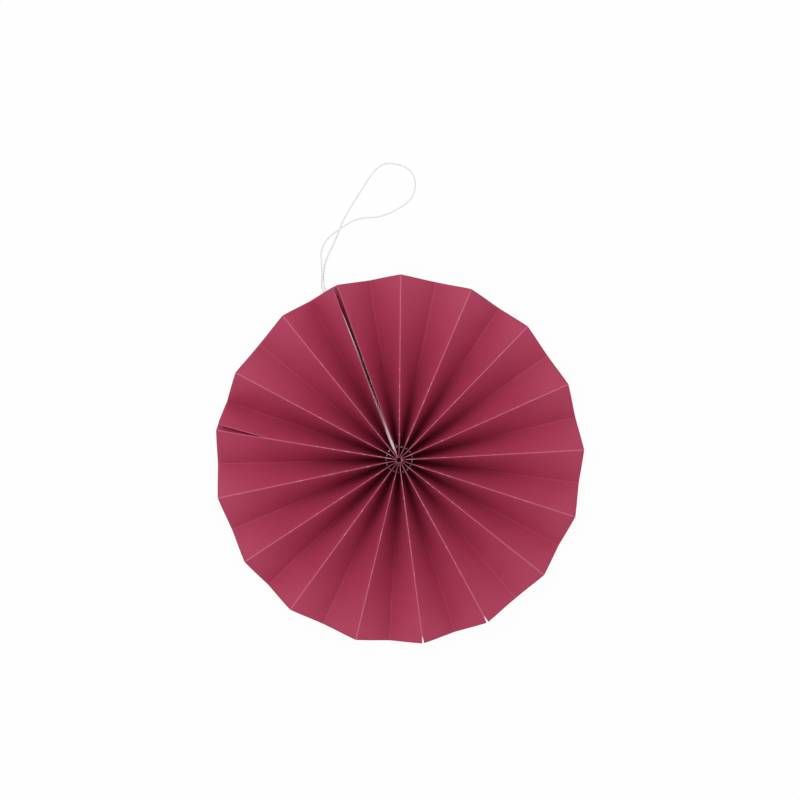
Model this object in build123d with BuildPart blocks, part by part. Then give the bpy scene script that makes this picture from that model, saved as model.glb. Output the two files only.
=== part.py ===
"""A hanging fan rosette of pleated paper.

Four folded sheets make one ring of seventeen pleats. Neighbouring sheets lap at a ridge, where the
leaf of one goes under the panel of the other. A thread runs through a hole in every panel near the
axis and gathers the ring. Its two ends leave at the closing seam and make the hanging loop.

The rosette lies on its back. The axis is Z, the table is z = 0, and angles run counter-clockwise
from +X as seen from the front. Millimetres and degrees.
"""

from build123d import *
from dataclasses import dataclass
from math import cos, degrees, hypot, radians, sin, sqrt, tan
import os

# The paper
fan_radius = 100.0  # axis to the tip of a ridge
flattest_rim_depth = 4.8  # depth at the rim of the widest pleat
inner_radius = 1.6  # the hole that the inner ends leave round the axis
paper_thickness = 0.2
crease_rise = 0.06  # how far a pressed crease stands out from the middle of the paper

# The openings of the pleats, counter-clockwise from the closing seam, sheet by sheet
closing_seam_angle = 109.6
sheet_spans = {
    "paper_sheet_d": [19.4, 23.0, 18.8],
    "paper_sheet_c": [21.2, 21.5, 20.5, 22.5, 21.0],
    "paper_sheet_b": [21.0],
    "paper_sheet_a": [23.0, 20.5, 21.0, 21.0, 22.0, 21.0, 22.5, 20.1],
}

# The lapped seams
tab_width = 8.0  # the leaf that goes under the neighbour's panel
tab_inner_radius = 18.0  # the leaf stops short of the crowded centre
lap_gap = 0.04  # the film of glue between a leaf and the panel over it
notch_width = 1.3  # the open corner at the tip of a lapped ridge
notch_depth = 4.3
closing_gap = 2.6  # at the rim, between the free edge and the fold of the closing seam
thread_slot = 1.15  # the same gap where the thread first fills it
thread_slot_radius = 9.0
closing_tab_angle = 4.0  # the closing leaf drops steeply, and leaves room for the thread
gaping_gap = 3.3  # the gap of the other open seam at the rim
gaping_gap_start = 70.0
torn_corner = 1.6

# The thread
thread_diameter = 0.9
hole_clearance = 0.15  # all round the thread, in each panel's hole
gather_radius = 7.0
gather_height = 7.4
knot_diameter = 1.4
knot_offset = 1.0  # knot centre outside the gathering ring
strand_spacing = 1.3  # between the two strands, one over the other inside and side by side at the rim
exit_from_fold = 7.3  # from the fold of the closing seam to the strands, along the rim
exit_clearance = 0.15

# The upper strand's way along the closing seam, from the knot to the rim: distance from the axis,
# distance from the fold's upright plane, and depth below the ridge
strand_route = [
    (9.3, 0.6, 8.0),
    (11.5, 0.65, 3.0),
    (18.0, 0.7, 1.0),
    (38.0, 0.9, 1.1),
    (60.0, 2.6, 4.6),
    (80.0, 5.2, 5.3),
]
# The lower strand's points from those: further out while it climbs, then below, then nearer the fold
lower_strand_shifts = [
    (1.1, 0.0, 0.7),
    (1.4, 0.0, 1.1),
    (0.5, 0.0, 1.3),
    (0.0, 0.05, 1.3),
    (0.0, -0.4, 1.2),
    (0.0, -1.1, 0.7),
]

# The stations where a pleat's section is worked out, as shares of the way out from the leaf's end
station_shares = [0.0, 0.3, 0.55, 0.75, 0.9, 1.0]


@dataclass
class Pleat:
    """One valley with a panel on each side, between two ridges."""

    sheet: str
    start: float
    span: float
    start_gap: callable = lambda radius: 0.0
    end_gap: callable = lambda radius: 0.0

    @property
    def half(self):
        return self.span / 2

    @property
    def middle(self):
        return self.start + self.half


def gaping_seam_gap(radius):
    """The free edge leaves the fold in a straight line, from one radius outward."""
    return gaping_gap * max(0.0, radius - gaping_gap_start) / (fan_radius - gaping_gap_start)


def closing_seam_gap(radius):
    """The gap opens to the thread's slot, then widens in a straight line to the rim."""
    if radius < thread_slot_radius:
        return thread_slot * (radius - inner_radius) / (thread_slot_radius - inner_radius)
    along = (radius - thread_slot_radius) / (fan_radius - thread_slot_radius)
    return thread_slot + (closing_gap - thread_slot) * along


def lay_out_pleats():
    """Every pleat in turn, its opening scaled so that the ring closes."""
    scale = 360 / sum(sum(spans) for spans in sheet_spans.values())
    pleats = []
    angle = closing_seam_angle
    for sheet, spans in sheet_spans.items():
        for span in spans:
            pleats.append(Pleat(sheet, angle, span * scale))
            angle += span * scale
    return pleats


pleats = lay_out_pleats()
closing_pleat = pleats[0]
gaping_pleat = pleats[len(sheet_spans["paper_sheet_d"]) - 1]
closing_pleat.start_gap = closing_seam_gap
gaping_pleat.end_gap = gaping_seam_gap
narrowest = min(pleat.half for pleat in pleats)
widest = max(pleat.half for pleat in pleats)
panel_width = hypot(fan_radius * sin(radians(widest)), flattest_rim_depth)

leaf_radii = [tab_inner_radius + share * (fan_radius - tab_inner_radius) for share in station_shares]
station_radii = [inner_radius, thread_slot_radius] + leaf_radii


def rise(half_width):
    """How far a panel climbs while it reaches half_width to the side of its valley."""
    return sqrt(panel_width**2 - half_width**2)


def ridge_height(radius):
    """The narrowest pleat has its valley on the table, and every ridge takes the height of its ridges."""
    return rise(radius * sin(radians(narrowest))) + crease_rise


def ridge_reach(pleat, radius):
    """From a pleat's valley to its ridge, square to the valley."""
    return radius * sin(radians(pleat.half))


def valley_height(pleat, radius):
    return ridge_height(radius) - rise(ridge_reach(pleat, radius))


def section_plane(angle, distance):
    """Square to the line at that angle, with x counter-clockwise and y up."""
    across = Vector(1, 0, 0).rotate(Axis.Z, angle)
    return Plane(
        origin=across * distance,
        x_dir=across.rotate(Axis.Z, 90),
        z_dir=across,
    )


def upright_thickness(half_width):
    """The paper's thickness measured straight up, through a panel of that reach."""
    return paper_thickness * panel_width / half_width


def pleat_profile(pleat, radius):
    """The pleat's section: two panels, a flattened crease below, and half a crease at each ridge."""
    valley = valley_height(pleat, radius)
    sides = []
    for gap in (pleat.start_gap, pleat.end_gap):
        reach = ridge_reach(pleat, radius) - gap(radius)
        climb = rise(reach)
        upright = upright_thickness(reach)
        flat = (upright / 2 - crease_rise) * reach / climb
        sides.append((reach, climb, upright, flat))
    (start, start_climb, start_upright, start_flat), (end, end_climb, end_upright, end_flat) = sides
    meet = (start_upright - end_upright) / 2 / (start_climb / start + end_climb / end)
    return [
        (-start, valley + start_climb + crease_rise),
        (-start + start_flat, valley + start_climb + crease_rise),
        (meet, valley + end_upright / 2 + meet * end_climb / end),
        (end - end_flat, valley + end_climb + crease_rise),
        (end, valley + end_climb + crease_rise),
        (end, valley + end_climb - end_upright / 2),
        (end_flat, valley - crease_rise),
        (-start_flat, valley - crease_rise),
        (-start, valley + start_climb - start_upright / 2),
    ]


def lap_leaf_profile(pleat, radius, side):
    """The neighbour's leaf, flat against the underside of this pleat's panel on that side."""
    reach = ridge_reach(pleat, radius)
    slope = rise(reach) / reach
    upright = upright_thickness(reach)
    film = lap_gap * panel_width / reach
    top = ridge_height(radius) - upright / 2 - film
    width = tab_width * reach / panel_width
    return [
        (side * reach, top),
        (side * (reach - width), top - width * slope),
        (side * (reach - width), top - width * slope - upright),
        (side * reach, top - upright),
    ]


def fold_root_profile(pleat, radius, side, over):
    """The thick of a fold, under this pleat's ridge on that side, where the leaf under `over` starts."""
    reach = ridge_reach(pleat, radius)
    slope = rise(reach) / reach
    upright = upright_thickness(reach)
    over_reach = ridge_reach(over, radius)
    over_slope = rise(over_reach) / over_reach
    drop = 1.5 * upright_thickness(over_reach) + lap_gap * panel_width / over_reach
    inward = (drop - upright / 2) / (slope + over_slope)
    ridge = ridge_height(radius)
    return [
        (side * reach, ridge),
        (side * (reach - inward), ridge - upright / 2 - inward * slope),
        (side * reach, ridge - drop),
    ]


def closing_leaf_profile(radius):
    """The leaf of the closing seam, which drops steeply from its fold."""
    reach = radius * sin(radians(closing_tab_angle))
    climb = rise(reach)
    upright = upright_thickness(reach)
    flat = (upright / 2 - crease_rise) * reach / climb
    ridge = ridge_height(radius)
    width = tab_width * reach / panel_width
    return [
        (-reach, ridge + crease_rise),
        (-reach + flat, ridge + crease_rise),
        (-reach + width, ridge - width * climb / reach + upright / 2),
        (-reach + width, ridge - width * climb / reach - upright / 2),
        (-reach, ridge - upright / 2),
    ]


def add_loft(profile, angle, half, radii):
    """Ruled faces through the profile at each radius, between two upright radial planes."""
    sections = []
    for radius in radii:
        with BuildSketch(section_plane(angle, radius * cos(radians(half)))) as section:
            with BuildLine():
                Polyline(*profile(radius), close=True)
            make_face()
        sections.append(section.sketch)
    loft(sections, ruled=True)


def cut_notch(angle, width, depth):
    """An open corner in the paper at the rim, pointing at the axis."""
    beyond = 2.0
    spread = width * (depth + beyond) / depth / 2
    with BuildSketch(Plane.XY.rotated((0, 0, angle)).offset(-panel_width)) as corner:
        with BuildLine():
            Polyline(
                (fan_radius - depth, 0),
                (fan_radius + beyond, -spread),
                (fan_radius + beyond, spread),
                close=True,
            )
        make_face()
    extrude(corner.sketch, amount=3 * panel_width, mode=Mode.SUBTRACT)


def add_pleats(sheet):
    for pleat in pleats:
        if pleat.sheet == sheet:
            add_loft(lambda r, p=pleat: pleat_profile(p, r), pleat.middle, pleat.half, station_radii)


def add_lap(fold_pleat, over_pleat, fold_side):
    """A leaf under over_pleat, folded from the sheet that fold_pleat ends."""
    add_loft(
        lambda r: fold_root_profile(fold_pleat, r, fold_side, over_pleat),
        fold_pleat.middle,
        fold_pleat.half,
        leaf_radii,
    )
    add_loft(
        lambda r: lap_leaf_profile(over_pleat, r, -fold_side),
        over_pleat.middle,
        over_pleat.half,
        leaf_radii,
    )


def cut_thread_holes():
    with Locations((0, 0, gather_height)):
        Torus(gather_radius, thread_diameter / 2 + hole_clearance, mode=Mode.SUBTRACT)


first_of = {sheet: next(p for p in pleats if p.sheet == sheet) for sheet in sheet_spans}
last_of = {sheet: [p for p in pleats if p.sheet == sheet][-1] for sheet in sheet_spans}
notch_angles = [first_of["paper_sheet_b"].start, first_of["paper_sheet_a"].start]

os.makedirs("parts", exist_ok=True)

# Sheet A: eight pleats. One leaf goes under sheet B, and the closing leaf under sheet D.
with BuildPart() as paper_sheet_a:
    add_pleats("paper_sheet_a")
    add_lap(first_of["paper_sheet_a"], first_of["paper_sheet_b"], -1)
    add_loft(
        closing_leaf_profile, closing_seam_angle + closing_tab_angle, closing_tab_angle, leaf_radii
    )
    cut_notch(notch_angles[1], notch_width, notch_depth)
    cut_thread_holes()
paper_sheet_a.part.label = "paper_sheet_a"
export_step(paper_sheet_a.part, "parts/paper_sheet_a.step")

# Sheet B: one pleat, which lies over the leaves of its two neighbours
with BuildPart() as paper_sheet_b:
    add_pleats("paper_sheet_b")
    for notch_angle in notch_angles:
        cut_notch(notch_angle, notch_width, notch_depth)
    cut_thread_holes()
paper_sheet_b.part.label = "paper_sheet_b"
export_step(paper_sheet_b.part, "parts/paper_sheet_b.step")

# Sheet C: five pleats, with a leaf under sheet D and a leaf under sheet B
with BuildPart() as paper_sheet_c:
    add_pleats("paper_sheet_c")
    add_lap(first_of["paper_sheet_c"], last_of["paper_sheet_d"], -1)
    add_lap(last_of["paper_sheet_c"], first_of["paper_sheet_b"], 1)
    cut_notch(notch_angles[0], notch_width, notch_depth)
    cut_thread_holes()
paper_sheet_c.part.label = "paper_sheet_c"
export_step(paper_sheet_c.part, "parts/paper_sheet_c.step")

# Sheet D: three pleats. Both of its outer edges are free at the rim, and one has lost its corner.
with BuildPart() as paper_sheet_d:
    add_pleats("paper_sheet_d")
    torn_angle = gaping_pleat.start + gaping_pleat.span - degrees(gaping_gap / fan_radius)
    cut_notch(torn_angle, 2 * torn_corner, torn_corner)
    cut_thread_holes()
paper_sheet_d.part.label = "paper_sheet_d"
export_step(paper_sheet_d.part, "parts/paper_sheet_d.step")


def seam_point(radius, from_fold, depth):
    """A point by the closing seam, to the left of its fold as seen from the front."""
    angle = closing_seam_angle + degrees(from_fold / radius)
    return Vector(radius, 0, ridge_height(radius) - depth).rotate(Axis.Z, angle)


def corner_radii(points):
    """The largest arc at each corner that leaves its neighbours room on the two runs beside it."""
    radii = []
    for before, corner, after in zip(points, points[1:], points[2:]):
        run_in = corner - before
        run_out = after - corner
        turn = radians(run_in.get_angle(run_out))
        radii.append(0.45 * min(run_in.length, run_out.length) / tan(turn / 2))
    return radii


# The gathering thread: a ring through every hole, a knot, and two strands out to the rim
exit_reach = ridge_reach(closing_pleat, fan_radius) - exit_from_fold
edge_reach = ridge_reach(closing_pleat, fan_radius) - closing_gap
steepness = rise(edge_reach) / edge_reach
under_panel = (paper_thickness / 2 + thread_diameter / 2 + exit_clearance) * panel_width / edge_reach
exit_height = (
    valley_height(closing_pleat, fan_radius)
    + (exit_reach - strand_spacing / 2) * steepness
    - under_panel
)
rim_plane = section_plane(closing_pleat.middle, fan_radius * cos(radians(closing_pleat.half)))
knot_centre = Vector(gather_radius + knot_offset, 0, gather_height).rotate(
    Axis.Z, closing_seam_angle
)
exits = [
    rim_plane.from_local_coords(Vector(-exit_reach + strand_spacing / 2, exit_height, 0)),
    rim_plane.from_local_coords(Vector(-exit_reach - strand_spacing / 2, exit_height, 0)),
]
lower_route = [
    tuple(value + shift for value, shift in zip(point, shifts))
    for point, shifts in zip(strand_route, lower_strand_shifts)
]
strands = [
    [knot_centre] + [seam_point(*point) for point in route] + [strand_exit]
    for route, strand_exit in zip([strand_route, lower_route], exits)
]

with BuildPart() as gather_thread:
    with Locations((0, 0, gather_height)):
        Torus(gather_radius, thread_diameter / 2)
    with Locations(knot_centre):
        Sphere(knot_diameter / 2)
    for strand in strands:
        with BuildLine():
            FilletPolyline(*strand, radius=corner_radii(strand))
        with BuildSketch(Plane(origin=strand[0], z_dir=strand[1] - strand[0])):
            Circle(thread_diameter / 2)
        sweep()
gather_thread.part.label = "gather_thread"
export_step(gather_thread.part, "parts/gather_thread.step")

# The hanging loop lies on the table. Its route is given from the middle of its two ends at the rim.
first_run = 4.0
on_table = thread_diameter / 2
loop_route = [
    (-1.7, 9.5, 8.6),
    (-2.0, 15.5, 7.4),
    (-2.6, 21.0, 6.2),
    (-0.6, 27.0, 5.2),
    (3.6, 31.4, 4.6),
    (9.2, 35.3, 4.6),
    (14.6, 38.9, 3.2),
    (21.0, 40.7, 1.4),
    (27.5, 40.7, on_table),
    (34.2, 42.8, on_table),
    (40.8, 46.2, on_table),
    (46.3, 50.2, on_table),
    (48.7, 55.6, on_table),
    (48.5, 63.0, on_table),
    (44.8, 67.6, on_table),
    (38.6, 69.9, on_table),
    (32.0, 70.3, on_table),
    (27.0, 67.0, on_table),
    (22.4, 60.6, on_table),
    (17.7, 52.8, on_table),
    (13.0, 45.6, on_table),
    (8.8, 38.0, on_table),
    (6.2, 30.4, on_table),
    (2.4, 22.4, on_table),
    (-0.6, 15.6, 1.9),
    (-0.9, 9.8, 5.5),
]
exit_middle = (exits[0] + exits[1]) * 0.5
exit_directions = [(strand[-1] - strand[-2]).normalized() for strand in strands]
loop_points = (
    [exits[0], exits[0] + exit_directions[0] * first_run]
    + [Vector(exit_middle.X + x, exit_middle.Y + y, z) for x, y, z in loop_route]
    + [exits[1] + exit_directions[1] * first_run, exits[1]]
)
loop_radii = corner_radii(loop_points)
with BuildPart() as hanging_loop:
    with BuildLine() as loop_path:
        FilletPolyline(*loop_points, radius=loop_radii)
    with BuildSketch(Plane(origin=loop_points[0], z_dir=exit_directions[0])):
        Circle(thread_diameter / 2)
    sweep()
hanging_loop.part.label = "hanging_loop"
export_step(hanging_loop.part, "parts/hanging_loop.step")

loop_length = loop_path.wires()[0].length
print(f"panel width {panel_width:.2f}, ridge height at the rim {ridge_height(fan_radius):.2f}")
print("loop radii", [round(radius, 1) for radius in loop_radii])
print(f"loop length {loop_length:.1f}")
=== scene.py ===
"""The looks of a hanging fan rosette: four sheets of pleated paper, and the thread that gathers them.

Everything is in metres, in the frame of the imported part. The rosette lies on its back on z = 0, its
axis is Z, and angles run counter-clockwise from +X as seen from the front.
"""

from dataclasses import dataclass
from math import cos, hypot, pi, radians, sin, sqrt

import bpy
from mathutils import Matrix, Vector


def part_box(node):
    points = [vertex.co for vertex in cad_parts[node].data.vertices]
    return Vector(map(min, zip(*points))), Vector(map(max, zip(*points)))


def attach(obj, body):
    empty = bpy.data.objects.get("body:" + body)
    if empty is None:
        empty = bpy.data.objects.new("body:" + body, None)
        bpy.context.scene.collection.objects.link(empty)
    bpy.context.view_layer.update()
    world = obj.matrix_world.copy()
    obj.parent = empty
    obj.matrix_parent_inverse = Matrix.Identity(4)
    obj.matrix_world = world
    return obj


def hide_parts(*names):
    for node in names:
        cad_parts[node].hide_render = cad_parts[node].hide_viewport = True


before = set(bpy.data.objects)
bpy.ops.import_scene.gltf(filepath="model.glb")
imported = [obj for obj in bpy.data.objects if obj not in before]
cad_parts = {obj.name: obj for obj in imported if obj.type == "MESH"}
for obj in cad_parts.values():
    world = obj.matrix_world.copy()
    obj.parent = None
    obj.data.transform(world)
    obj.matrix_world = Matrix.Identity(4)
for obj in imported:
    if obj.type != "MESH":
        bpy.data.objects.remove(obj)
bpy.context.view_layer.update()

mm = 0.001

# The paper
fan_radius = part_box("paper_sheet_a")[1][1]
inner_radius = 1.3 * mm
paper_thickness = 0.2 * mm
crease_rise = 0.06 * mm
crease_shoulder = 0.3 * mm  # the strip on each side of a crease that the pressing has rounded
flattest_rim_depth = 4.8 * mm

# The openings of the pleats in degrees, counter-clockwise from the closing seam, sheet by sheet
closing_seam_angle = 109.6
sheet_spans = {
    "paper_sheet_d": [19.4, 23.0, 18.8],
    "paper_sheet_c": [21.2, 21.5, 20.5, 22.5, 21.0],
    "paper_sheet_b": [21.0],
    "paper_sheet_a": [23.0, 20.5, 21.0, 21.0, 22.0, 21.0, 22.5, 20.1],
}

# The lapped seams
tab_width = 8 * mm
tab_inner_radius = 18 * mm
lap_step = 0.3 * mm  # from the middle of a panel to the middle of the leaf glued under it
lap_edge = 0.15 * mm  # how far a panel stops short of the fold that it is glued over
notch_width = 1.3 * mm
notch_depth = 4.3 * mm
closing_gap = 2.6 * mm
thread_slot = 1.15 * mm
thread_slot_radius = 9 * mm
closing_tab_angle = 4.0
gaping_gap = 3.3 * mm
gaping_gap_start = 70 * mm
torn_corner = 1.6 * mm

# The thread
thread_diameter = 0.9 * mm
gather_radius = 7 * mm
gather_height = 7.4 * mm
knot_offset = 1.0 * mm
strand_spacing = 1.3 * mm
exit_from_fold = 7.3 * mm
exit_clearance = 0.15 * mm
ply_count = 3
ply_pitch = 2.6 * mm
ply_swell = 1.3  # how far soft plies bulge into each other, beyond round ones that just touch

# The camera looks straight down on a square of this width at the height of the rim's ridges
framed_width = 431.6 * mm
framed_centre = Vector((0.5 * mm, 32.2 * mm))
camera_distance = 1.7


class Socket:
    """A node's output, which takes part in Python expressions and starts further nodes."""

    def __init__(self, tree, output=None):
        self.tree = tree
        self.output = output

    def node(self, kind, settings=None, sockets=None, output=0):
        """A node of any kind: its settings come first, then values or links, and one output returns."""
        made = self.tree.nodes.new(kind)
        for name, value in (settings or {}).items():
            if name == "stops":
                set_stops(made.color_ramp, value)
            else:
                setattr(made, name, value)
        for name, value in (sockets or {}).items():
            if isinstance(value, Socket):
                self.tree.links.new(value.output, made.inputs[name])
            else:
                made.inputs[name].default_value = value
        return Socket(self.tree, made.outputs[output] if made.outputs else None)

    def math(self, operation, *others):
        return self.node("ShaderNodeMath", {"operation": operation}, dict(enumerate((self, *others))))

    def __add__(self, other):
        return self.math("ADD", other)

    __radd__ = __add__

    def __mul__(self, other):
        return self.math("MULTIPLY", other)

    __rmul__ = __mul__

    def __sub__(self, other):
        return self.math("SUBTRACT", other)

    def __rsub__(self, other):
        return self * -1 + other

    def __truediv__(self, other):
        return self.math("DIVIDE", other)

    def __pow__(self, other):
        return self.math("POWER", other)

    def ramp(self, low, high, to_low=0.0, to_high=1.0):
        """A smooth step from to_low at low to to_high at high."""
        return self.node(
            "ShaderNodeMapRange",
            {"interpolation_type": "SMOOTHSTEP"},
            {"Value": self, "From Min": low, "From Max": high, "To Min": to_low, "To Max": to_high},
        )

    def mix(self, first, second):
        """The first colour where this is 0, and the second where it is 1."""
        sockets = {"Factor": self, 6: first, 7: second}
        return self.node("ShaderNodeMix", {"data_type": "RGBA"}, sockets, 2)


def set_stops(ramp, stops):
    while len(ramp.elements) < len(stops):
        ramp.elements.new(0.5)
    for element, (position, color) in zip(ramp.elements, stops):
        element.position = position
        element.color = color


# ---------------------------------------------------------------- camera and light


def add_camera():
    camera = bpy.data.cameras.new("camera")
    camera.lens = camera.sensor_width * camera_distance / framed_width
    camera_object = bpy.data.objects.new("camera", camera)
    camera_object.location = (*framed_centre, ridge_height(fan_radius) + camera_distance)
    bpy.context.scene.collection.objects.link(camera_object)
    bpy.context.scene.camera = camera_object


def add_lamp(name, direction, distance, size, power, color):
    lamp = bpy.data.lights.new(name, "AREA")
    lamp.shape = "DISK"
    lamp.size = size
    lamp.energy = power
    lamp.color = color
    lamp_object = bpy.data.objects.new(name, lamp)
    lamp_object.location = Vector(direction).normalized() * distance
    lamp_object.rotation_euler = Vector(direction).to_track_quat("Z", "Y").to_euler()
    bpy.context.scene.collection.objects.link(lamp_object)


def add_world():
    world = bpy.data.worlds.new("studio")
    world.use_nodes = True
    world.node_tree.nodes.clear()
    start = Socket(world.node_tree)
    is_camera = start.node("ShaderNodeLightPath", output="Is Camera Ray")
    soft = start.node("ShaderNodeBackground", sockets={"Color": (1, 1, 1, 1), "Strength": 0.86})
    white = start.node("ShaderNodeBackground", sockets={"Color": (1, 1, 1, 1), "Strength": 1.0})
    mixed = start.node("ShaderNodeMixShader", sockets={"Fac": is_camera, 1: soft, 2: white})
    start.node("ShaderNodeOutputWorld", sockets={"Surface": mixed})
    bpy.context.scene.world = world


def white_table():
    """A matt white that the camera sees as nearly even, with the object's shadow left faint."""
    material = new_material("white_table")
    start = Socket(material.node_tree)
    path = start.node("ShaderNodeLightPath", output="Is Camera Ray")
    place = start.node("ShaderNodeTexCoord", output="Object")
    from_axis = start.node("ShaderNodeVectorMath", {"operation": "LENGTH"}, {0: place}, "Value")
    beside = from_axis.ramp(0.5 * fan_radius, 0.9 * fan_radius)
    matt = start.node("ShaderNodeBsdfDiffuse", sockets={"Color": (0.85, 0.85, 0.85, 1)})
    glow = start.node("ShaderNodeEmission", sockets={"Color": (1, 1, 1, 1), "Strength": 1.0})
    share = path * beside * 0.95
    mixed = start.node("ShaderNodeMixShader", sockets={"Fac": share, 1: matt, 2: glow})
    start.node("ShaderNodeOutputMaterial", sockets={"Surface": mixed})
    return material


def add_table():
    half = 2.0
    corners = [(-half, -half, 0), (half, -half, 0), (half, half, 0), (-half, half, 0)]
    mesh = bpy.data.meshes.new("table")
    mesh.from_pydata(corners, [], [(0, 1, 2, 3)])
    table = bpy.data.objects.new("table", mesh)
    table.data.materials.append(white_table())
    bpy.context.scene.collection.objects.link(table)


def new_material(name):
    material = bpy.data.materials.new(name)
    material.use_nodes = True
    material.node_tree.nodes.clear()
    return material


# ---------------------------------------------------------------- finishes


def raspberry_paper():
    """Matt dyed craft paper: soft mottling, fibres, and creases where the pressing has paled the dye, the
    ridges lighter still with a painted highlight.
    """
    material = new_material("raspberry_paper")
    start = Socket(material.node_tree)
    place = start.node("ShaderNodeTexCoord", output="Object")
    fold = start.node("ShaderNodeAttribute", {"attribute_name": "fold"}, output="Fac")
    reach = start.node("ShaderNodeAttribute", {"attribute_name": "reach"}, output="Fac")

    def noise(scale, detail=3.0):
        sockets = {"Vector": place, "Scale": scale, "Detail": detail}
        return start.node("ShaderNodeTexNoise", sockets=sockets)

    mottle = noise(45, 2)
    fibre = noise(2600, 4)
    wear = noise(420, 3)

    from_ridge = (fold / 2 - (fold / 2).math("ROUND")).math("ABSOLUTE") * 2 * panel_width
    from_valley = panel_width - from_ridge
    # The ridge line's lightness is partly pressed-out dye and partly a painted highlight on the crease tops.
    ridge_line = (from_ridge + wear * 0.12 * mm).ramp(0.26 * mm, 0.44 * mm, 1, 0)
    valley_line = (from_valley + wear * 0.12 * mm).ramp(0.2 * mm, 0.38 * mm, 1, 0)
    inward = reach.ramp(0.1 * fan_radius, 0.95 * fan_radius, 1, 0)
    fleck = wear.ramp(0.52, 0.66) * (0.2 + inward * 0.7)

    dye = (mottle * 0.7 + fibre * 0.3).mix((0.36, 0.030, 0.078, 1), (0.44, 0.045, 0.108, 1))
    # The ridges' colour: pressed-out dye with worn flecks, made paler by a painted highlight, strongest towards
    # the centre.
    ridge_paled_and_highlit = fleck.mix((0.68, 0.17, 0.28, 1), (0.9, 0.62, 0.66, 1))
    color = (valley_line * (0.35 + inward * 0.35)).mix(dye, (0.62, 0.15, 0.25, 1))
    color = (ridge_line * (0.5 + inward * 0.5)).mix(color, ridge_paled_and_highlit)
    tooth = start.node(
        "ShaderNodeBump",
        sockets={"Strength": 0.25, "Distance": 0.04 * mm, "Height": fibre},
    )
    surface = start.node(
        "ShaderNodeBsdfPrincipled",
        sockets={
            "Base Color": color,
            "Roughness": 0.55 + mottle * 0.08,
            "Specular IOR Level": 0.3,
            "Normal": tooth,
        },
    )
    start.node("ShaderNodeOutputMaterial", sockets={"Surface": surface})
    return material


def cotton_thread():
    """Undyed spun cotton: off-white, a little uneven along its length, with fine fibres."""
    material = new_material("cotton_thread")
    start = Socket(material.node_tree)
    place = start.node("ShaderNodeTexCoord", output="Object")
    slub = start.node("ShaderNodeTexNoise", sockets={"Vector": place, "Scale": 220, "Detail": 2})
    hair = start.node("ShaderNodeTexNoise", sockets={"Vector": place, "Scale": 5200, "Detail": 4})
    color = (slub * 0.6 + hair * 0.4).mix((0.82, 0.82, 0.81, 1), (0.95, 0.95, 0.94, 1))
    fuzz = start.node(
        "ShaderNodeBump", sockets={"Strength": 0.5, "Distance": 0.05 * mm, "Height": hair}
    )
    surface = start.node(
        "ShaderNodeBsdfPrincipled",
        sockets={
            "Base Color": color,
            "Roughness": 0.8,
            "Sheen Weight": 0.3,
            "Sheen Roughness": 0.5,
            "Normal": fuzz,
        },
    )
    start.node("ShaderNodeOutputMaterial", sockets={"Surface": surface})
    return material


# ---------------------------------------------------------------- the fold pattern


@dataclass
class Pleat:
    """One valley with a panel on each side, between two ridges. Angles are in radians."""

    sheet: str
    start: float
    span: float

    @property
    def half(self):
        return self.span / 2

    @property
    def middle(self):
        return self.start + self.half


def lay_out_pleats():
    scale = 360 / sum(sum(spans) for spans in sheet_spans.values())
    pleats = []
    angle = closing_seam_angle
    for sheet, spans in sheet_spans.items():
        for span in spans:
            pleats.append(Pleat(sheet, radians(angle), radians(span * scale)))
            angle += span * scale
    return pleats


pleats = lay_out_pleats()
narrowest = min(pleat.half for pleat in pleats)
widest = max(pleat.half for pleat in pleats)
panel_width = hypot(fan_radius * sin(widest), flattest_rim_depth)


def rise(reach):
    """How far a panel climbs while it reaches that far to the side of its valley."""
    return sqrt(panel_width**2 - reach**2)


def ridge_height(radius):
    return rise(radius * sin(narrowest)) + crease_rise


def in_section(angle, distance, sideways, height):
    """A point of the upright plane square to the line at that angle."""
    outward = Vector((cos(angle), sin(angle), 0))
    leftward = Vector((-sin(angle), cos(angle), 0))
    return outward * distance + leftward * sideways + Vector((0, 0, height))


def ridge(angle):
    return lambda radius: in_section(angle, radius, 0, ridge_height(radius))


def valley(pleat):
    def at(radius):
        height = ridge_height(radius) - rise(radius * sin(pleat.half))
        return in_section(pleat.middle, radius * cos(pleat.half), 0, height)

    return at


def free_edge(pleat, side, gap):
    """The outer edge of a pleat that leaves its neighbour's fold by that gap, and lifts as it does."""

    def at(radius):
        reach = radius * sin(pleat.half)
        shortened = reach - gap(radius)
        height = ridge_height(radius) - rise(reach) + rise(shortened)
        return in_section(pleat.middle, radius * cos(pleat.half), side * shortened, height)

    return at


def gaping_seam_gap(radius):
    return gaping_gap * max(0.0, radius - gaping_gap_start) / (fan_radius - gaping_gap_start)


def closing_seam_gap(radius):
    if radius < thread_slot_radius:
        return thread_slot * (radius - inner_radius) / (thread_slot_radius - inner_radius)
    along = (radius - thread_slot_radius) / (fan_radius - thread_slot_radius)
    return thread_slot + (closing_gap - thread_slot) * along


def lowered(line, pleat):
    """A line moved down by one lap, through a panel of that pleat."""

    def at(radius):
        step = lap_step * panel_width / (radius * sin(pleat.half))
        return line(radius) - Vector((0, 0, min(step, 3 * mm)))

    return at


def blended(first, second, share):
    return lambda radius: first(radius).lerp(second(radius), share)


@dataclass
class Column:
    """A line of the sheet from the centre to the rim, at its place across the fold pattern."""

    fold: float
    line: callable
    end: float = fan_radius
    is_leaf: bool = False


row_count = 26
tab_row = 7


def row_share(row):
    """Rows are closer together near the centre, and row tab_row lies where the leaves begin."""
    tab_share = (tab_inner_radius - inner_radius) / (fan_radius - inner_radius)
    if row <= tab_row:
        return tab_share * row / tab_row
    return tab_share + (1 - tab_share) * (row - tab_row) / (row_count - 1 - tab_row)


def leaf_columns(fold, crease, under, hinge, direction, end):
    """The leaf beyond a sheet's last fold: a strip under the neighbour's panel."""
    columns = []
    for share in (0.04, 0.5, 1.0):
        across = share * tab_width / panel_width
        line = blended(crease, under, across)
        columns.append(Column(fold + direction * across, hinge(line), end if share < 0.1 else fan_radius, True))
    return columns


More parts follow.
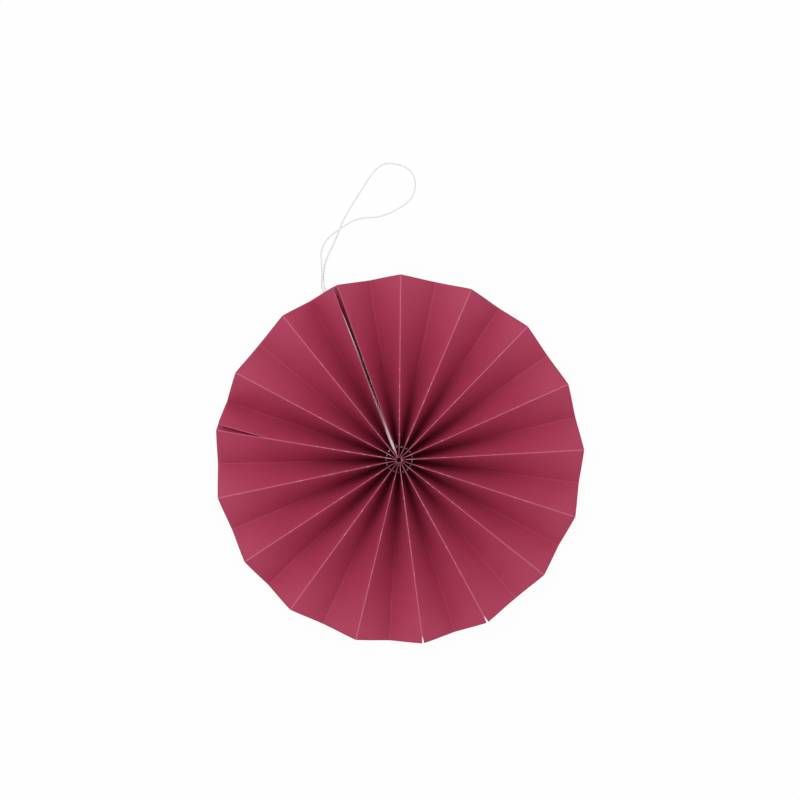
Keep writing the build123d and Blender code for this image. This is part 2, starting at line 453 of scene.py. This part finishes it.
def sheet_columns(sheet):
    """Every line of one sheet, counter-clockwise, with a strip beside each crease and one mid-panel."""
    own = [pleat for pleat in pleats if pleat.sheet == sheet]
    creases = [ridge(own[0].start)]
    for pleat in own:
        creases += [valley(pleat), ridge(pleat.start + pleat.span)]
    ends = {0: fan_radius, len(creases) - 1: fan_radius}
    shoulders = {0: crease_shoulder, len(creases) - 1: crease_shoulder}
    if sheet == "paper_sheet_d":
        creases[0] = free_edge(own[0], -1, closing_seam_gap)
        creases[-1] = free_edge(own[-1], 1, gaping_seam_gap)
        ends[len(creases) - 1] = fan_radius - torn_corner
        shoulders[len(creases) - 1] = torn_corner
    notched = {"paper_sheet_a": [0], "paper_sheet_b": [0, 2], "paper_sheet_c": [len(creases) - 1]}
    for index in notched.get(sheet, []):
        ends[index] = fan_radius - notch_depth
        shoulders[index] = notch_width / 2

    columns = []
    for index, (first, second) in enumerate(zip(creases, creases[1:])):
        first_shoulder = shoulders.get(index, crease_shoulder) / panel_width
        second_shoulder = shoulders.get(index + 1, crease_shoulder) / panel_width
        if index == 0:
            columns.append(Column(0, first, ends[0]))
        for share in (first_shoulder, 0.5, 1 - second_shoulder):
            columns.append(Column(index + share, blended(first, second, share)))
        end = ends.get(index + 1, fan_radius)
        columns.append(Column(index + 1, second, end))
    return columns


def rounded_creases(columns):
    """Each crease between two shoulders sinks part of the way to the line that joins them."""
    rounding = 0.3
    result = []
    for index, column in enumerate(columns):
        is_crease = abs(column.fold - round(column.fold)) < 1e-9
        if is_crease and 0 < index < len(columns) - 1:
            chord = blended(columns[index - 1].line, columns[index + 1].line, 0.5)
            column = Column(
                column.fold, blended(column.line, chord, rounding), column.end, column.is_leaf
            )
        result.append(column)
    return result


def with_leaves(sheet, columns):
    own = [pleat for pleat in pleats if pleat.sheet == sheet]
    first_ridge = ridge(own[0].start)
    last_angle = own[-1].start + own[-1].span
    last_ridge = ridge(last_angle)
    sheet_b = next(pleat for pleat in pleats if pleat.sheet == "paper_sheet_b")
    last_fold = columns[-1].fold
    if sheet == "paper_sheet_a":
        under_b = leaf_columns(
            0, first_ridge, valley(sheet_b), lambda line: lowered(line, sheet_b), -1, columns[0].end
        )
        steep = radians(closing_tab_angle)

        def steep_valley(radius):
            height = ridge_height(radius) - rise(radius * sin(steep))
            return in_section(last_angle + steep, radius * cos(steep), 0, height)

        closing = leaf_columns(last_fold, last_ridge, steep_valley, lambda line: line, 1, fan_radius)
        return under_b[::-1] + columns + closing
    if sheet == "paper_sheet_c":
        last_d = [pleat for pleat in pleats if pleat.sheet == "paper_sheet_d"][-1]
        under_d = leaf_columns(
            0, first_ridge, valley(last_d), lambda line: lowered(line, last_d), -1, fan_radius
        )
        under_b = leaf_columns(
            last_fold,
            last_ridge,
            valley(sheet_b),
            lambda line: lowered(line, sheet_b),
            1,
            columns[-1].end,
        )
        return under_d[::-1] + columns + under_b
    return columns


def skeleton_mesh(sheet):
    """The sheet as coarse strips between its lines, with each point's place in the fold pattern."""
    columns = rounded_creases(with_leaves(sheet, sheet_columns(sheet)))
    points = []
    folds = []
    reaches = []
    for column in columns:
        for row in range(row_count):
            radius = inner_radius + (column.end - inner_radius) * row_share(row)
            points.append(column.line(radius))
            folds.append(column.fold)
            reaches.append(radius)
    faces = []
    for index in range(len(columns) - 1):
        is_leaf = columns[index].is_leaf or columns[index + 1].is_leaf
        for row in range(tab_row if is_leaf else 0, row_count - 1):
            near = index * row_count + row
            far = near + row_count
            faces.append((near, near + 1, far + 1, far))
    mesh = bpy.data.meshes.new(sheet + "_lines")
    mesh.from_pydata(points, [], faces)
    for name, values in (("fold", folds), ("reach", reaches)):
        mesh.attributes.new(name, "FLOAT", "POINT").data.foreach_set("value", values)
    used = {corner for face in faces for corner in face}
    drop_points(mesh, [index for index in range(len(points)) if index not in used])
    return mesh


def drop_points(mesh, indices):
    import bmesh

    shape = bmesh.new()
    shape.from_mesh(mesh)
    shape.verts.ensure_lookup_table()
    bmesh.ops.delete(shape, geom=[shape.verts[index] for index in indices], context="VERTS")
    shape.to_mesh(mesh)
    shape.free()


# ---------------------------------------------------------------- geometry trees


def new_tree(name, inputs):
    """A geometry tree with named inputs. Returns the tree, and its inputs by name as sockets."""
    tree = bpy.data.node_groups.new(name, "GeometryNodeTree")
    tree.interface.new_socket("Geometry", in_out="OUTPUT", socket_type="NodeSocketGeometry")
    tree.interface.new_socket("Geometry", in_out="INPUT", socket_type="NodeSocketGeometry")
    for label, kind in inputs.items():
        tree.interface.new_socket(label, in_out="INPUT", socket_type=kind)
    group_input = tree.nodes.new("NodeGroupInput")
    given = {socket.name: Socket(tree, socket) for socket in group_input.outputs if socket.name}
    return tree, given


def finish_tree(tree, shape, material):
    """Ends a tree in Realize Instances and Set Material."""
    realized = shape.node("GeometryNodeRealizeInstances", sockets={"Geometry": shape})
    painted = shape.node(
        "GeometryNodeSetMaterial", sockets={"Geometry": realized, "Material": material}
    )
    shape.node("NodeGroupOutput", sockets={"Geometry": painted})
    return tree


def shaped(name, source, tree, values):
    """The source run through the tree, as a plain mesh object."""
    modifier = source.modifiers.new("shape", "NODES")
    modifier.node_group = tree
    for item in tree.interface.items_tree:
        if item.in_out == "INPUT" and item.name in values:
            modifier[item.identifier] = values[item.name]
    depsgraph = bpy.context.evaluated_depsgraph_get()
    mesh = bpy.data.meshes.new_from_object(
        source.evaluated_get(depsgraph), preserve_all_data_layers=True, depsgraph=depsgraph
    )
    mesh.name = name
    bpy.data.objects.remove(source)
    piece = bpy.data.objects.new(name, mesh)
    bpy.context.scene.collection.objects.link(piece)
    return piece


def paper_tree():
    """Folded paper from its coarse strips: finer, with bowed panels, a soft ripple and a turned centre."""
    tree, given = new_tree(
        "folded_paper",
        {
            "Cuts": "NodeSocketInt",
            "Bow": "NodeSocketFloat",
            "Ripple": "NodeSocketFloat",
            "Ripple Scale": "NodeSocketFloat",
            "Turn": "NodeSocketFloat",
            "Turn Radius": "NodeSocketFloat",
            "Paper": "NodeSocketMaterial",
        },
    )
    start = Socket(tree)
    fine = start.node(
        "GeometryNodeSubdivideMesh", sockets={"Mesh": given["Geometry"], "Level": given["Cuts"]}
    )

    def attribute(name):
        return start.node("GeometryNodeInputNamedAttribute", sockets={"Name": name})

    fold = attribute("fold")
    reach = attribute("reach")
    mid_panel = (fold.math("FRACT") * pi).math("SINE").math("ABSOLUTE")
    outward = reach / fan_radius
    sag = (outward * pi).math("SINE") * 0.6 - outward.ramp(0.8, 1.0) * 0.5
    place = start.node("GeometryNodeInputPosition")
    noise = start.node(
        "ShaderNodeTexNoise",
        sockets={"Vector": place, "Scale": given["Ripple Scale"], "Detail": 1.0},
    )
    push = mid_panel * (sag * given["Bow"] + (noise - 0.5) * given["Ripple"])
    normal = start.node("GeometryNodeInputNormal")
    offset = start.node(
        "ShaderNodeVectorMath", {"operation": "SCALE"}, {0: normal, "Scale": push}
    )
    bowed = start.node(
        "GeometryNodeSetPosition", sockets={"Geometry": fine, "Offset": offset}
    )
    angle = reach.math("DIVIDE", given["Turn Radius"]).ramp(0.0, 1.0, 1.0, 0.0) * given["Turn"]
    turned = start.node(
        "ShaderNodeVectorRotate",
        {"rotation_type": "Z_AXIS"},
        {"Vector": start.node("GeometryNodeInputPosition"), "Angle": angle},
    )
    twisted = start.node(
        "GeometryNodeSetPosition", sockets={"Geometry": bowed, "Position": turned}
    )
    return finish_tree(tree, twisted, given["Paper"])


def thread_tree():
    """A twisted thread along a curve: round plies side by side, turned evenly along its length."""
    tree, given = new_tree(
        "twisted_thread",
        {
            "Diameter": "NodeSocketFloat",
            "Pitch": "NodeSocketFloat",
            "Step": "NodeSocketFloat",
            "Thread": "NodeSocketMaterial",
        },
    )
    start = Socket(tree)
    even = start.node(
        "GeometryNodeResampleCurve",
        {"mode": "LENGTH"},
        {"Curve": given["Geometry"], "Length": given["Step"]},
    )
    along = start.node("GeometryNodeSplineParameter", output="Length")
    tilted = start.node(
        "GeometryNodeSetCurveTilt",
        sockets={"Curve": even, "Tilt": along / given["Pitch"] * (2 * pi)},
    )
    ply_share = 1 / (1 + 1 / sin(pi / ply_count))
    ply_radius = given["Diameter"] * (ply_share * ply_swell / 2)
    circle = start.node(
        "GeometryNodeCurvePrimitiveCircle", sockets={"Resolution": 8, "Radius": ply_radius}
    )
    join = tree.nodes.new("GeometryNodeJoinGeometry")
    for ply in range(ply_count):
        angle = 2 * pi * ply / ply_count
        distance = given["Diameter"] * ((1 - ply_share * ply_swell) / 2)
        centre = start.node(
            "ShaderNodeCombineXYZ", sockets={"X": distance * cos(angle), "Y": distance * sin(angle)}
        )
        moved = start.node(
            "GeometryNodeTransform", sockets={"Geometry": circle, "Translation": centre}
        )
        tree.links.new(moved.output, join.inputs[0])
    plies = start.node(
        "GeometryNodeCurveToMesh",
        sockets={
            "Curve": tilted,
            "Profile Curve": Socket(tree, join.outputs[0]),
            "Fill Caps": True,
        },
    )
    smooth = start.node("GeometryNodeSetShadeSmooth", sockets={"Geometry": plies})
    return finish_tree(tree, smooth, given["Thread"])


# ---------------------------------------------------------------- the thread's way


def seam_point(radius, from_fold, depth):
    """A point by the closing seam, to the left of its fold as seen from the front."""
    angle = radians(closing_seam_angle) + from_fold / radius
    return in_section(angle, radius, 0, ridge_height(radius) - depth)


def strand_exits():
    """Where the two strands leave under sheet D's panel at the rim."""
    closing_pleat = pleats[0]
    full_reach = fan_radius * sin(closing_pleat.half)
    exit_reach = full_reach - exit_from_fold
    edge_reach = full_reach - closing_gap
    steepness = rise(edge_reach) / edge_reach
    under_panel = (paper_thickness + thread_diameter) / 2 + exit_clearance
    height = ridge_height(fan_radius) - rise(full_reach)
    height += (exit_reach - strand_spacing / 2) * steepness - under_panel * panel_width / edge_reach
    distance = fan_radius * cos(closing_pleat.half)
    return [
        in_section(closing_pleat.middle, distance, -exit_reach + offset, height)
        for offset in (strand_spacing / 2, -strand_spacing / 2)
    ]


# The upper strand's way from the knot to the rim: distance from the axis, distance from the fold's
# upright plane, and depth below the ridge. The lower strand's points are moved from those.
strand_route = [
    (6.2, 0.5, 8.0),
    (4.8, 0.45, 2.6),
    (5.6, 0.5, 0.7),
    (9.3, 0.6, 0.4),
    (14.0, 0.7, 0.6),
    (19.0, 0.7, 1.0),
    (26.0, 0.75, 2.8),
    (36.0, 1.1, 5.2),
    (60.0, 2.6, 6.3),
    (80.0, 5.2, 5.6),
]
lower_strand_shifts = [
    (0.6, 0.1, 0.6),
    (0.8, 0.2, 0.9),
    (0.6, 0.3, 0.9),
    (0.2, 0.4, 0.8),
    (0.0, 0.45, 0.8),
    (0.5, 0.4, 1.1),
    (0.0, 0.2, 1.3),
    (0.0, 0.0, 1.3),
    (0.0, -0.4, 1.2),
    (0.0, -1.1, 0.7),
]

# The hanging loop's way, in millimetres from the middle of its two ends at the rim
loop_run = 4.0 * mm
on_table = thread_diameter / 2 / mm
loop_route = [
    (-1.7, 9.5, 8.6),
    (-2.0, 15.5, 7.4),
    (-2.6, 21.0, 6.2),
    (-0.6, 27.0, 5.2),
    (3.6, 31.4, 4.6),
    (9.2, 35.3, 4.6),
    (14.6, 38.9, 3.2),
    (21.0, 40.7, 1.4),
    (27.5, 40.7, on_table),
    (34.2, 42.8, on_table),
    (40.8, 46.2, on_table),
    (46.3, 50.2, on_table),
    (48.7, 55.6, on_table),
    (48.5, 63.0, on_table),
    (44.8, 67.6, on_table),
    (38.6, 69.9, on_table),
    (32.0, 70.3, on_table),
    (27.0, 67.0, on_table),
    (22.4, 60.6, on_table),
    (17.7, 52.8, on_table),
    (13.0, 45.6, on_table),
    (8.8, 38.0, on_table),
    (6.2, 30.4, on_table),
    (2.4, 22.4, on_table),
    (-0.6, 15.6, 1.9),
    (-0.9, 9.8, 5.5),
]


def strand_points():
    """The two strands from the knot to the rim, as lists of points."""
    knot = in_section(
        radians(closing_seam_angle), gather_radius + knot_offset, 0, gather_height
    )
    lower = [
        tuple(value + shift for value, shift in zip(point, shifts))
        for point, shifts in zip(strand_route, lower_strand_shifts)
    ]
    return [
        [knot] + [seam_point(r * mm, side * mm, depth * mm) for r, side, depth in route] + [end]
        for route, end in zip((strand_route, lower), strand_exits())
    ]


def add_spline(curve, points, cyclic=False):
    spline = curve.splines.new("NURBS")
    spline.points.add(len(points) - 1)
    for point, place in zip(spline.points, points):
        point.co = (*place, 1)
    spline.use_cyclic_u = cyclic
    spline.order_u = 3
    spline.use_endpoint_u = not cyclic
    spline.resolution_u = 16


def new_curve(name):
    curve = bpy.data.curves.new(name, "CURVE")
    curve.dimensions = "3D"
    holder = bpy.data.objects.new(name, curve)
    bpy.context.scene.collection.objects.link(holder)
    return holder


def twisted(name, holder, tree, material):
    values = {
        "Diameter": thread_diameter,
        "Pitch": ply_pitch,
        "Step": 0.3 * mm,
        "Thread": material,
    }
    return shaped(name, holder, tree, values)


def add_hanging_loop(tree, material):
    first, second = strand_exits()
    strands = strand_points()
    runs = [(strand[-1] - strand[-2]).normalized() * loop_run for strand in strands]
    middle = (first + second) / 2
    points = [first, first + runs[0]]
    points += [Vector((middle.x + x * mm, middle.y + y * mm, z * mm)) for x, y, z in loop_route]
    points += [second + runs[1], second]
    holder = new_curve("loop_route")
    add_spline(holder.data, points)
    depsgraph = bpy.context.evaluated_depsgraph_get()
    line = bpy.data.meshes.new_from_object(holder.evaluated_get(depsgraph))
    bpy.data.meshes.remove(line)
    loop = twisted("hanging_loop_thread", holder, tree, material)
    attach(loop, "root")
    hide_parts("hanging_loop")


def add_gather_thread(tree, material):
    """The ring through the panels' holes, its knot, and the two strands out to the rim."""
    holder = new_curve("gather_route")
    ring = [
        in_section(2 * pi * step / 34, gather_radius, 0, gather_height) for step in range(34)
    ]
    add_spline(holder.data, ring, cyclic=True)
    for strand in strand_points():
        add_spline(holder.data, strand)
    centre = in_section(
        radians(closing_seam_angle), gather_radius + knot_offset, 0, gather_height
    )
    knot_size = 0.34 * mm
    knot = []
    for step in range(24):
        turn = 2 * pi * step / 24
        reach = 2 + cos(3 * turn)
        knot.append(
            centre
            + knot_size * Vector((reach * cos(2 * turn), reach * sin(2 * turn), sin(3 * turn)))
        )
    add_spline(holder.data, knot, cyclic=True)
    thread = twisted("gather_thread_twisted", holder, tree, material)
    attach(thread, "root")
    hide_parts("gather_thread")


def add_sheet(sheet, tree, material):
    holder = bpy.data.objects.new(sheet + "_lines", skeleton_mesh(sheet))
    bpy.context.scene.collection.objects.link(holder)
    values = {
        "Cuts": 2,
        "Bow": -0.9 * mm,
        "Ripple": 0.5 * mm,
        "Ripple Scale": 38.0,
        "Turn": radians(12),
        "Turn Radius": 5 * mm,
        "Paper": material,
    }
    piece = shaped(sheet.replace("sheet", "fold"), holder, tree, values)
    piece.data.shade_smooth()
    piece.data.set_sharp_from_angle(angle=radians(20))
    wall = piece.modifiers.new("wall", "SOLIDIFY")
    wall.thickness = paper_thickness
    wall.offset = 0
    wall.use_even_offset = False
    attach(piece, "root")
    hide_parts(sheet)


add_camera()
thread = cotton_thread()
threads = thread_tree()
add_hanging_loop(threads, thread)
add_gather_thread(threads, thread)

paper = raspberry_paper()
folding = paper_tree()
for sheet in sheet_spans:
    add_sheet(sheet, folding, paper)

add_table()
add_world()
add_lamp("key", (-0.45, 0.5, 1.0), 1.6, 0.9, 5.5, (1.0, 0.99, 0.98))
bpy.context.scene.view_settings.view_transform = "Standard"
